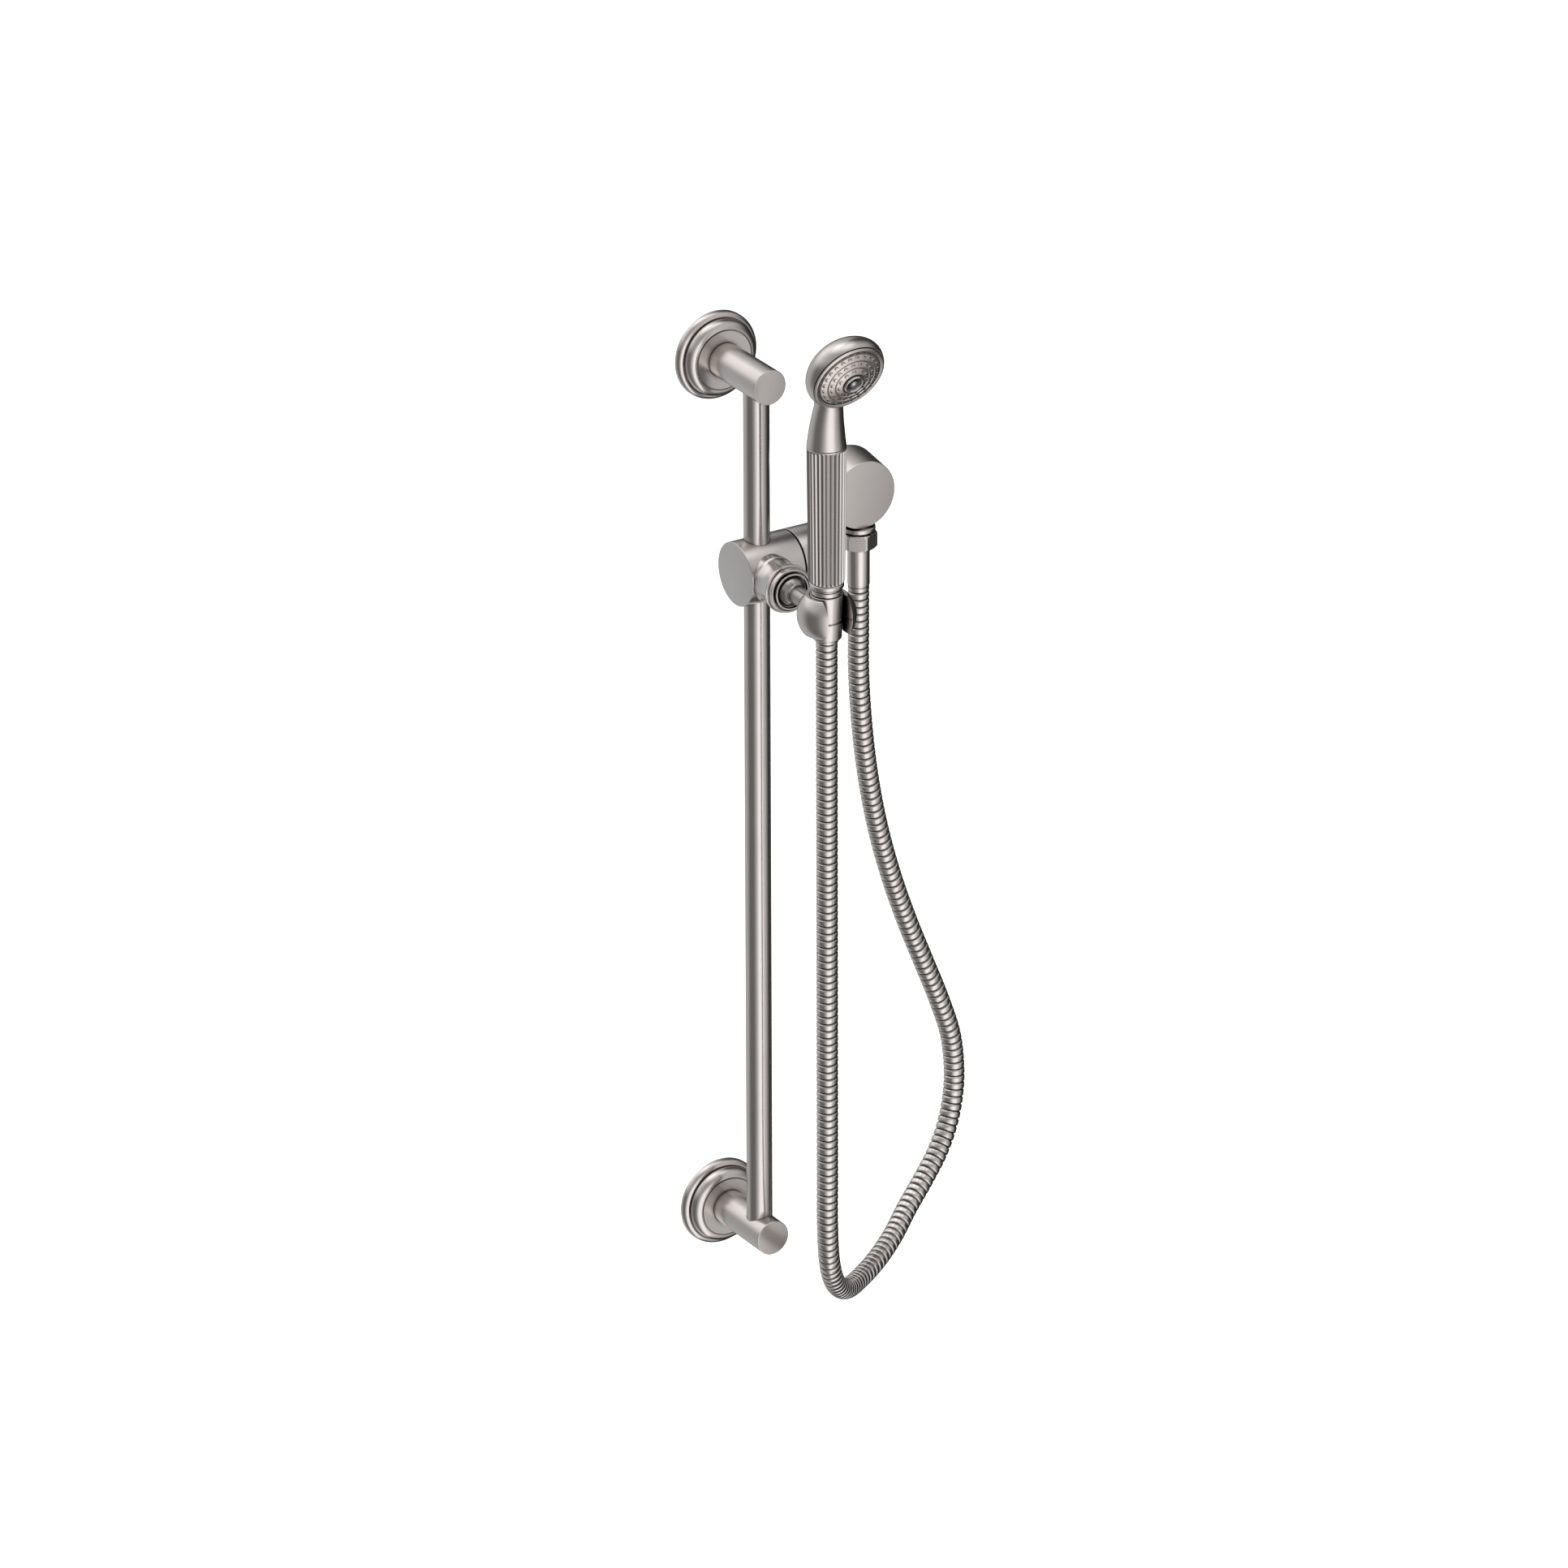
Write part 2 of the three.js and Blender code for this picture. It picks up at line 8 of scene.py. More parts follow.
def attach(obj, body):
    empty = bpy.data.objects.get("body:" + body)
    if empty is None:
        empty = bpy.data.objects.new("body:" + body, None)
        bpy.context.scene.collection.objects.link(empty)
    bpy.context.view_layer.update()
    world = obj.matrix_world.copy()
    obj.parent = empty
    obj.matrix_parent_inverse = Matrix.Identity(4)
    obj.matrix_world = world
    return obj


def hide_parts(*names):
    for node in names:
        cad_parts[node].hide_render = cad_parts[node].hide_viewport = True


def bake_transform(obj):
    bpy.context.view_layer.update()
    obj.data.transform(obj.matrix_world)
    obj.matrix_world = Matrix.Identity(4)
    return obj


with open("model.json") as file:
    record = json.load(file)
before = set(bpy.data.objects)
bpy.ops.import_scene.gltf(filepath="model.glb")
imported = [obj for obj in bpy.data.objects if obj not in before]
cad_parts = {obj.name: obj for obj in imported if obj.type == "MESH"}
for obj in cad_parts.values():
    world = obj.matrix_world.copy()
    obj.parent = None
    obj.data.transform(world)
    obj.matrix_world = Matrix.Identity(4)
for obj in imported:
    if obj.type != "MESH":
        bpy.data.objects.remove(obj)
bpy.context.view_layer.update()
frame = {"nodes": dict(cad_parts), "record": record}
MM = 0.001
TAU = 2 * math.pi
VIEW_AZIMUTH = math.radians(31.61)     # how far round to the left the set is seen from


# ---------------------------------------------------------------- camera and stage
def add_camera():
    """A long lens from the left, above the set: it looks down on it by about 24 degrees."""
    azimuth, elevation, roll = VIEW_AZIMUTH, math.radians(24.383), math.radians(-0.174)
    target, distance = Vector((51.73, 0, 291.85)) * MM, 7.749
    back = Vector((-math.sin(azimuth) * math.cos(elevation),
                   -math.cos(azimuth) * math.cos(elevation), math.sin(elevation)))
    right = Vector((math.cos(azimuth), -math.sin(azimuth), 0))
    up = back.cross(right)
    right, up = (math.cos(roll) * right + math.sin(roll) * up,
                 math.cos(roll) * up - math.sin(roll) * right)
    data = bpy.data.cameras.new("photo_camera")
    data.sensor_width = 36
    data.lens = 269.79
    data.clip_end = 100
    camera = bpy.data.objects.new("photo_camera", data)
    bpy.context.scene.collection.objects.link(camera)
    place = target + back * distance
    rows = [(right[i], up[i], back[i], place[i]) for i in range(3)]
    camera.matrix_world = Matrix([*rows, (0, 0, 0, 1)])
    bpy.context.scene.camera = camera


# ---------------------------------------------------------------- profiles
def arc(cr, cz, r, start, end, steps=8):
    """Points on an arc in the (radius, height) plane, angles in degrees."""
    angles = np.radians(np.linspace(start, end, steps + 1))
    return [(cr + r * math.cos(a), cz + r * math.sin(a)) for a in angles]


def soften(points, closed=False, steps=4):
    """Rounds the corners of a profile. A point with a third number is rounded by that radius."""
    out = []
    count = len(points)
    for i, p in enumerate(points):
        radius = p[2] if len(p) > 2 else 0
        if not radius or (not closed and i in (0, count - 1)):
            out.append((p[0], p[1]))
            continue
        here = np.array(p[:2], float)
        to_a = np.array(points[i - 1][:2], float) - here
        to_b = np.array(points[(i + 1) % count][:2], float) - here
        la, lb = np.linalg.norm(to_a), np.linalg.norm(to_b)
        to_a, to_b = to_a / la, to_b / lb
        half = math.acos(max(-1, min(1, float(to_a @ to_b)))) / 2
        back = min(radius / math.tan(half), 0.48 * la, 0.48 * lb)
        start, end = here + to_a * back, here + to_b * back
        for k in range(steps + 1):
            t = k / steps
            q = (1 - t) ** 2 * start + 2 * t * (1 - t) * here + t * t * end
            out.append((float(q[0]), float(q[1])))
    return out


# ---------------------------------------------------------------- mesh building, in millimetres
def turned(profile, segments=128):
    """Vertices and faces of a profile turned about +Z. Points on the axis become poles."""
    verts, faces, rings = [], [], []
    closed = profile[0] == profile[-1]
    points = profile[:-1] if closed else profile
    for r, z in points:
        if r < 1e-6:
            rings.append([len(verts)])
            verts.append((0, 0, z))
            continue
        rings.append(list(range(len(verts), len(verts) + segments)))
        verts += [(r * math.cos(TAU * k / segments), r * math.sin(TAU * k / segments), z)
                  for k in range(segments)]
    pairs = list(zip(rings, rings[1:] + ([rings[0]] if closed else [])))
    for a, b in pairs[:len(rings) if closed else len(rings) - 1]:
        for k in range(segments):
            n = (k + 1) % segments
            if len(a) == 1 and len(b) == 1:
                continue
            if len(a) == 1:
                faces.append((a[0], b[n], b[k]))
            elif len(b) == 1:
                faces.append((a[k], a[n], b[0]))
            else:
                faces.append((a[k], a[n], b[n], b[k]))
    return np.array(verts, float), faces


def box_shape(lo, hi):
    x0, y0, z0 = lo
    x1, y1, z1 = hi
    verts = [(x, y, z) for x in (x0, x1) for y in (y0, y1) for z in (z0, z1)]
    faces = [(0, 1, 3, 2), (4, 6, 7, 5), (0, 4, 5, 1), (2, 3, 7, 6), (0, 2, 6, 4), (1, 5, 7, 3)]
    return np.array(verts, float), faces


def joined(*shapes):
    verts, faces, start = [], [], 0
    for v, f in shapes:
        verts.append(v)
        faces += [tuple(i + start for i in face) for face in f]
        start += len(v)
    return np.concatenate(verts), faces


def placed(shape, rows, at=(0, 0, 0)):
    """The shape with its axes turned onto the given rows' frame, then moved."""
    verts, faces = shape
    return verts @ np.array(rows, float).T + np.array(at, float), faces


UPRIGHT = ((1, 0, 0), (0, 1, 0), (0, 0, 1))
OUTWARD = ((1, 0, 0), (0, 0, -1), (0, 1, 0))      # +Z of the shape points out from the wall
SIDEWAYS = ((0, 0, 1), (0, 1, 0), (-1, 0, 0))     # +Z of the shape points along +X

FLAT_CAPS = 15      # for pieces with flat ends: an edge that turns by more degrees than this stays hard


def to_mesh(name, shape, sharp=32):
    verts, faces = shape
    mesh = bpy.data.meshes.new(name)
    mesh.from_pydata((verts * MM).tolist(), [], faces)
    mesh.validate()
    mesh.shade_smooth()
    mesh.set_sharp_from_angle(angle=math.radians(sharp))
    return mesh


def add_piece(name, shape, material, body, nodes=(), sharp=32):
    obj = bpy.data.objects.new(name, to_mesh(name, shape, sharp))
    bpy.context.scene.collection.objects.link(obj)
    obj.data.materials.append(material)
    if body:
        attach(obj, body)
    if nodes:
        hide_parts(*nodes)
    return obj


def shade_grooves(obj, shade):
    """Painted shade of each vertex in a groove, from 0 to 1, for the materials to darken the base colour
    by.
    """
    obj.data.attributes.new("groove", "FLOAT", "POINT").data.foreach_set("value", shade)


def boolean(shape, *steps):
    """Cuts, joins or intersects closed shapes and gives the result back as a shape."""
    base = bpy.data.objects.new("work", to_mesh("work", shape))
    bpy.context.scene.collection.objects.link(base)
    tools = []
    for operation, tool in steps:
        other = bpy.data.objects.new("tool", to_mesh("tool", tool))
        bpy.context.scene.collection.objects.link(other)
        modifier = base.modifiers.new(operation, "BOOLEAN")
        modifier.operation = operation
        modifier.solver = "MANIFOLD"
        modifier.object = other
        tools.append(other)
    depsgraph = bpy.context.evaluated_depsgraph_get()
    result = base.evaluated_get(depsgraph).to_mesh()
    verts = np.array([v.co for v in result.vertices], float) / MM
    faces = [tuple(p.vertices) for p in result.polygons]
    for obj in [base, *tools]:
        mesh = obj.data
        bpy.data.objects.remove(obj)
        bpy.data.meshes.remove(mesh)
    return verts, faces


# ---------------------------------------------------------------- materials
class Nodes:
    """A short way to add and join shader nodes."""

    def __init__(self, tree):
        self.tree = tree
        tree.nodes.clear()

    def add(self, kind, inputs=None, **settings):
        node = self.tree.nodes.new(kind)
        for key, value in settings.items():
            setattr(node, key, value)
        for key, value in (inputs or {}).items():
            if isinstance(value, bpy.types.NodeSocket):
                self.tree.links.new(value, node.inputs[key])
            else:
                node.inputs[key].default_value = value
        return node

    def ramp(self, fac, stops, interpolation="LINEAR"):
        node = self.add("ShaderNodeValToRGB", {0: fac})
        node.color_ramp.interpolation = interpolation
        elements = node.color_ramp.elements
        while len(elements) < len(stops):
            elements.new(0.5)
        for element, (position, value) in zip(elements, stops):
            element.position = position
            element.color = (value, value, value, 1) if isinstance(value, float) else (*value, 1)
        return node.outputs[0]


PAINTED_SHADE_REACH = 0.008      # how close two surfaces are, in metres, where painted shade darkens the colour between them


def material(name, base, metallic, roughness, streaks=(1, 1, 1), bump=0.02, fine=900, vary=0.03):
    """Base colour and roughness drift a little and fine streaks roughen it. Painted shade darkens the base
    colour where other surfaces are near, and by each vertex's painted groove shade.
    """
    made = bpy.data.materials.new(name)
    made.use_nodes = True
    n = Nodes(made.node_tree)
    place = n.add("ShaderNodeTexCoord").outputs["Object"]
    stretched = n.add("ShaderNodeMapping", {"Vector": place, "Scale": streaks}).outputs[0]
    grain = n.add("ShaderNodeTexNoise", {"Vector": stretched, "Scale": fine, "Detail": 4.0,
                                         "Roughness": 0.6}).outputs["Fac"]
    cloud = n.add("ShaderNodeTexNoise", {"Vector": place, "Scale": 30.0, "Detail": 3.0}).outputs["Fac"]
    dark = tuple(c * (1 - vary) for c in base)
    light = tuple(min(1, c * (1 + vary)) for c in base)
    colour = n.ramp(cloud, [(0.3, dark), (0.7, light)])
    rough = n.add("ShaderNodeMapRange", {"Value": grain, "From Min": 0.3, "From Max": 0.7,
                                         "To Min": roughness * 0.92, "To Max": roughness * 1.08}).outputs[0]
    open_air = n.add("ShaderNodeAmbientOcclusion", {"Distance": PAINTED_SHADE_REACH}, samples=8).outputs["AO"]
    groove = n.add("ShaderNodeAttribute", attribute_name="groove").outputs["Fac"]
    # Painted shade: the colour darkens where ambient occlusion finds other surfaces close by.
    painted_seam_shade = n.ramp(open_air, [(0.15, 0.05), (0.5, 0.5), (0.76, 1.0)])
    # Painted shade from the groove attribute: none leaves the colour as it is, full shade takes it down to
    # 6 per cent.
    rib = n.ramp(groove, [(0.0, 1.0), (1.0, 0.06)])
    shade = n.add("ShaderNodeMath", {0: painted_seam_shade, 1: rib}, operation="MULTIPLY").outputs[0]
    colour = n.add("ShaderNodeVectorMath", {0: colour, 1: shade}, operation="MULTIPLY").outputs[0]
    relief = n.add("ShaderNodeBump", {"Height": grain, "Strength": bump, "Distance": 0.00005}).outputs[0]
    shader = n.add("ShaderNodeBsdfPrincipled", {"Base Color": colour, "Metallic": metallic,
                                                "Roughness": rough, "Normal": relief})
    n.add("ShaderNodeOutputMaterial", {"Surface": shader.outputs[0]})
    return made


NICKEL = (0.61, 0.567, 0.545)
upright_nickel = material("nickel_brushed_upright", NICKEL, 1.0, 0.20, (1, 1, 0.06), 0.10)
turned_nickel = material("nickel_brushed_round", NICKEL, 1.0, 0.22, (0.5, 1, 1), 0.10)
satin_nickel = material("nickel_satin", NICKEL, 1.0, 0.25, (1, 1, 1), 0.08)
soft_nickel = material("nickel_bead_blasted", (0.64, 0.58, 0.555), 1.0, 0.38, (1, 1, 1), 0.3, 1500)
hose_nickel = material("nickel_hose", (0.61, 0.57, 0.55), 1.0, 0.20, (1, 1, 1), 0.05)
polished_nickel = material("nickel_polished", (0.70, 0.68, 0.65), 1.0, 0.12, (1, 1, 1), 0.02)
# A darker copy of the nickel for the ball stem: painted shadow, the same metal as the rest.
shaded_nickel = material("nickel_stem_painted_shadow", (0.40, 0.38, 0.36), 1.0, 0.24, (0.5, 1, 1), 0.10)
plain_steel = material("steel_machined", (0.50, 0.50, 0.51), 1.0, 0.35, (1, 1, 1), 0.1)
brass = material("brass_machined", (0.62, 0.45, 0.20), 1.0, 0.32, (1, 1, 1), 0.1)
acetal = material("acetal_black", (0.03, 0.03, 0.032), 0.0, 0.5, (1, 1, 1), 0.05, 300, 0.15)
white_plastic = material("plastic_white", (0.78, 0.77, 0.74), 0.0, 0.45, (1, 1, 1), 0.05, 300, 0.03)
rubber = material("rubber_black", (0.02, 0.02, 0.02), 0.0, 0.75, (1, 1, 1), 0.15, 400, 0.2)
silicone = material("silicone_grey", (0.02, 0.019, 0.018), 0.0, 0.55, (1, 1, 1), 0.1, 500, 0.1)

BY_SLOT = {"brushed_nickel": satin_nickel, "plain_steel": plain_steel, "brass": brass,
           "black_acetal": acetal, "white_plastic": white_plastic, "black_rubber": rubber,
           "grey_silicone": silicone}


def paint_cad_nodes():
    """Every CAD node takes the finish of its slot. The ones inside the set keep their CAD shape."""
    for part in frame["record"]["subparts"]:
        node = frame["nodes"][part["node"]]
        node.data.materials.clear()
        node.data.materials.append(BY_SLOT[part["material_slot"]])


# ---------------------------------------------------------------- wall mounts and bar
BAR_OUT = 51.4          # from the wall to the axis of the bar
HANDLE_OUT = 137        # from the wall to the axis of the handset
POST_SPACING = 609.6
SLIDE_Z = 476.8         # height of the slider's own axis at rest


def flange(z):
    r, mid_r, mid_z, face_r, face_z, wall, hole = 30.2, 26.2, 5.6, 20.2, 12.7, 2.0, 12.25
    low, high = r - mid_r, mid_r - face_r
    outside = [(r, 0.35), *arc(mid_r + 0.35, mid_z - low, low - 0.35, 0, 84, 12),
               (mid_r + 0.3, mid_z - 0.9), (mid_r - 0.1, mid_z - 0.9), (mid_r - 0.1, mid_z + 0.4),
               *arc(face_r + 0.3, face_z - high, high - 0.35, 4, 86, 12),
               (face_r + 0.25, face_z - 0.9), (face_r - 0.15, face_z - 0.9), (face_r - 0.35, face_z)]
    inside = [(hole, face_z), (hole, face_z - wall), (face_r - 1, face_z - wall),
              (mid_r - wall, face_z - high), (mid_r - wall, mid_z - wall),
              (r - wall, mid_z - low), (r - wall, 0)]
    profile = [(r - wall, 0), (r - 0.3, 0), *outside, *inside]
    return placed(turned(profile, 160), OUTWARD, (0, 0, z))


def post(z, bar_side):
    """A round post with a blind bore for the bar, which enters from above (1) or from below (-1)."""
    profile = soften([(0, 24.3), (7.8, 24.3), (7.8, 3.3), (12, 3.3), (12, 68.5, 0.7), (0, 68.5)])
    ends = sorted([-3.3 * bar_side, 15 * bar_side])
    bore = turned([(0, ends[0]), (8.75, ends[0]), (8.75, ends[1]), (0, ends[1])])
    screw_hole = turned([(0, -13), (2.15, -13), (2.15, -7), (0, -7)], 32)
    return boolean(placed(turned(profile), OUTWARD, (0, 0, z)),
                   ("DIFFERENCE", placed(bore, UPRIGHT, (0, -BAR_OUT, z))),
                   ("DIFFERENCE", placed(screw_hole, UPRIGHT, (0, -16, z))))


def wall_mounts_and_bar():
    for prefix, z, bar_side in (("lower", 0, 1), ("upper", POST_SPACING, -1)):
        add_piece(f"{prefix}_flange_turned", flange(z), turned_nickel, "wall_set",
                  [f"{prefix}_flange"], 25)
        add_piece(f"{prefix}_post_round", post(z, bar_side), satin_nickel, "wall_set",
                  [f"{prefix}_post"], FLAT_CAPS)
    end = POST_SPACING + 3
    bar = turned([(7.2, -3), (8.6, -3), (8.6, end), (7.2, end), (7.2, -3)], 128)
    add_piece("slide_bar_tube", placed(bar, UPRIGHT, (0, -BAR_OUT, 0)), upright_nickel, "wall_set",
              ["slide_bar"])


# ---------------------------------------------------------------- slider and ball joint
def slider():
    at = (0, -BAR_OUT, SLIDE_Z)
    body = placed(turned(soften([(0, -16.4), (21.6, -16.4, 0.6), (21.6, 24, 0.35), (0, 24)])), SIDEWAYS, at)
    bore = placed(turned([(0, -40), (8.85, -40), (8.85, 40), (0, 40)]), UPRIGHT, at)
    stud_hole = placed(turned([(0, 9), (5.4, 9), (5.4, 30), (0, 30)], 48), SIDEWAYS, at)
    barrel = boolean(body, ("DIFFERENCE", bore), ("DIFFERENCE", stud_hole))
    add_piece("slider_barrel", barrel, satin_nickel, "slider", ["slider_body"],
              FLAT_CAPS)
    knob = soften([(0, 38), (4.3, 38), (4.3, 25.2), (21.6, 25.2, 0.4), (21.6, 47, 1.1), (0, 47)])
    add_piece("lock_knob_barrel", placed(turned(knob), SIDEWAYS, at), satin_nickel, "knob",
              ["lock_knob"], FLAT_CAPS)


def ball_joint():
    at = (0, -BAR_OUT, SLIDE_Z)
    flare = [(15.9, 15), (15.9, 21.2), (15.3, 22.0), (15.0, 23.0), (15.0, 28.5), (15.2, 31), (15.9, 34.5),
             (16.5, 37), (16.6, 37.7), (16.45, 38.15), (16.1, 38.3)]
    shell = turned([(0, 15), *flare, (13.2, 38.3), (13.2, 24), (0, 24)], 128)
    saddle = placed(turned([(0, -30), (21.7, -30), (21.7, 30), (0, 30)], 160), SIDEWAYS, at)
    housing = boolean(placed(shell, OUTWARD, at), ("DIFFERENCE", saddle))
    add_piece("swivel_housing_turned", housing, turned_nickel, "slider", ["swivel_housing"])
    lips = soften([(13.2, 38.6), (15.05, 38.6), (15.05, 42.5, 0.7), (13.6, 42.5, 0.35), (13.4, 41.4),
                   (12.75, 41.4), (12.5, 42.0), (12.5, 44.3, 0.7), (11.3, 44.3, 0.4), (10.9, 42.6)])
    ring = [(10.8, 34), (12.9, 34), (12.9, 38.6), *lips, *arc(0, 39.6, 10.8, 15, 0, 6), (10.8, 34)]
    add_piece("ball_retainer_turned", placed(turned(ring), OUTWARD, at), turned_nickel, "slider",
              ["ball_retaining_ring"], 25)
    stem = arc(0, 39.6, 10.5, -90, 53, 40) + [(6.05, 48.6), (6.0, 49.4), (6.0, 69), (0, 69)]
    clear = turned(arc(0, 0, 19.8, -90, 90, 64), 96)
    stud = boolean(placed(turned(stem, 96), OUTWARD, at),
                   ("DIFFERENCE", placed(clear, UPRIGHT, (0, -HANDLE_OUT, SLIDE_Z))))
    spigot = placed(turned([(0, 60), (4, 60), (4, 70), (0, 70)], 64), OUTWARD, at)
    add_piece("swivel_ball_stem", joined(stud, spigot), shaded_nickel, "ball", ["ball_stud"])


CONE_LOW = (9.7, 460.3)
CONE_HIGH = (10.9, 491.3)


def cone_radius(z):
    """Radius at a height of the taper that seats in the cradle. It carries on past both ends."""
    return CONE_LOW[0] + (CONE_HIGH[0] - CONE_LOW[0]) * (z - CONE_LOW[1]) / (CONE_HIGH[1] - CONE_LOW[1])


def cradle():
    """A ball cut flat at top and bottom, bored to the cone and slotted in front for the hose."""
    at = (0, -HANDLE_OUT, SLIDE_Z)
    radius, low, top, clearance = 19.4, -12, 13.9, 0.4
    bore_low, bore_high = cone_radius(SLIDE_Z - 17) + clearance, cone_radius(SLIDE_Z + 19) + clearance
    outside = arc(0, 0, radius, math.degrees(math.asin(low / radius)),
                  math.degrees(math.asin(top / radius)), 64)
    r_low, r_top = outside[0][0], outside[-1][0]
    profile = soften([(0, low), (r_low, low, 0.5), *outside[2:-2], (r_top, top, 0.5), (0, top)])
    ball = placed(turned(profile, 160), UPRIGHT, at)
    bore = placed(turned([(0, -17), (bore_low, -17), (bore_high, 19), (0, 19)]), UPRIGHT, at)
    slot = placed(box_shape((-9.2, -40, -30), (9.2, 0, 30)), UPRIGHT, at)
    hole = placed(turned([(0, 15.3), (4.3, 15.3), (4.3, 30), (0, 30)], 48),
                  ((1, 0, 0), (0, 0, 1), (0, -1, 0)), at)
    cut = boolean(ball, ("DIFFERENCE", bore), ("DIFFERENCE", slot), ("DIFFERENCE", hole))
    add_piece("cradle_ball", cut, satin_nickel, "cradle", ["cradle"], 28)


# ---------------------------------------------------------------- handset
HANDLE = (0, -HANDLE_OUT, 0)


def on_axis(profile, segments=128):
    return placed(turned(profile, segments), UPRIGHT, HANDLE)


def hose_end():
    ferrule = soften([(4.6, 457.8), (7.5, 457.8, 0.3), (7.5, 460.05, 0.2), (4.6, 460.05), (4.6, 457.8)])
    add_piece("hose_ferrule_ring", on_axis(ferrule), turned_nickel, "hose_end", ["hose_ferrule"])
    collar = soften([(4.6, 460.3), (cone_radius(460.3), 460.3, 1.3), (cone_radius(472.4), 472.4, 0.3),
                     (9.6, 472.55), (9.6, 472.8), (4.6, 472.8), (4.6, 460.3)])
    add_piece("cone_collar_turned", on_axis(collar), upright_nickel, "hose_end", ["cone_collar"])


def grip():
    nut = soften([(4.6, 473.2), (9.6, 473.2), (9.6, 473.6), (cone_radius(473.8), 473.8, 0.3),
                  (cone_radius(491.3), 491.3, 0.7), (8.3, 491.3), (8.3, 478), (4.6, 478), (4.6, 473.2)])
    add_piece("cone_nut_turned", on_axis(nut), upright_nickel, "handset", ["cone_nut"])
    collar = soften([(5, 480.6), (8, 480.6, 0.3), (8, 491.6), (10, 491.6, 0.5), (10, 494.4, 0.5),
                     (9.3, 494.7), (9.2, 495.6), (7.2, 495.6), (7.2, 511, 0.4), (5, 511), (5, 480.6)])
    add_piece("inlet_collar_turned", on_axis(collar), turned_nickel, "handset", ["inlet_adaptor"])
    bead = soften([(7.6, 495.9), (10.3, 495.9, 0.3), (11.3, 496.8, 0.5), (11.3, 498.8, 0.5),
                   (10.7, 499.7, 0.2), (7.6, 499.7), (7.6, 495.9)])
    add_piece("grip_bead_ring", on_axis(bead), turned_nickel, "handset", ["grip_end_ring"])
    shape, shade = fluted_grip()
    sleeve = add_piece("grip_fluted", shape, upright_nickel, "handset", ["grip_sleeve"],
                       50)
    shade_grooves(sleeve, shade)


VALLEY_SHADE = 0.45     # how much painted shade darkens the bottom of a flute, from 0 to 1


def fluted_grip():
    """Thirty scooped flutes between narrow rounded ridges, which run out just before each end."""
    z0, z1, flutes, per = 500.0, 593.7, 30, 14
    levels = [(z0, 10.3, 0), (z0, 11.0, 0), (z0 + 0.15, 11.35, 0.15), (z0 + 0.6, 11.75, 0.6),
              (z0 + 1.3, 11.95, 1)]
    levels += [(z, 12.0 + 0.95 * (z - z0) / (z1 - z0), 1) for z in np.linspace(z0 + 3, z1 - 2.6, 24)]
    levels += [(z1 - 1.9, 12.94, 0.95), (z1 - 1.4, 12.95, 0.6), (z1 - 1.0, 12.95, 0.15),
               (z1 - 0.8, 12.95, 0), (z1 - 0.25, 12.93, 0), (z1, 12.7, 0), (z1, 10.3, 0)]
    count = flutes * per
    phase = (np.arange(count) % per) / per
    scoop = np.clip((1 - np.abs(phase - 0.5) * 2) / 0.88, 0, 1)
    depth = 0.85 * np.sin(scoop * math.pi / 2) ** 0.9
    angle = TAU * np.arange(count) / count
    verts, faces = [], []
    for z, r, share in levels:
        rr = r - depth * share
        verts.append(np.stack([rr * np.cos(angle), rr * np.sin(angle), np.full(count, z)], 1))
    rows = len(levels)
    for i in range(rows):
        j = (i + 1) % rows
        for k in range(count):
            n = (k + 1) % count
            faces.append((i * count + k, i * count + n, j * count + n, j * count + k))
    # Painted shade in the flute valleys, VALLEY_SHADE deep at the bottom and fading out where the flutes
    # run out.
    shade = np.concatenate([VALLEY_SHADE * share * scoop for _, _, share in levels])
    return placed((np.concatenate(verts), faces), UPRIGHT, HANDLE), shade


TILT = math.radians(23.4)
FACE_ROWS = ((1, 0, 0), (0, -math.sin(TILT), -math.cos(TILT)), (0, math.cos(TILT), -math.sin(TILT)))
FACE_AT = (0, -164.66, 649.87)


def on_face(shape):
    return placed(shape, FACE_ROWS, FACE_AT)


def lean(shape):
    """Bends the neck out from the wall, more and more from just above the grip."""
    starts, curve = 596, 0.0038
    verts, faces = shape
    rise = np.clip(verts[:, 2] - starts, 0, None)
    verts = verts.copy()
    verts[:, 1] -= curve * rise * rise
    return verts, faces


def smooth_path(points, steps=8):
    """A smooth curve through profile points."""
    p = [np.array(q, float) for q in points]
    p = [2 * p[0] - p[1], *p, 2 * p[-1] - p[-2]]
    out = []
    for a, b, c, d in zip(p, p[1:], p[2:], p[3:]):
        for k in range(steps):
            t = k / steps
            q = 0.5 * (2 * b + (c - a) * t + (2 * a - 5 * b + 4 * c - d) * t * t
                       + (3 * b - a - 3 * c + d) * t ** 3)
            out.append((max(0.0, float(q[0])), float(q[1])))
    out.append((float(p[-2][0]), float(p[-2][1])))
    return out


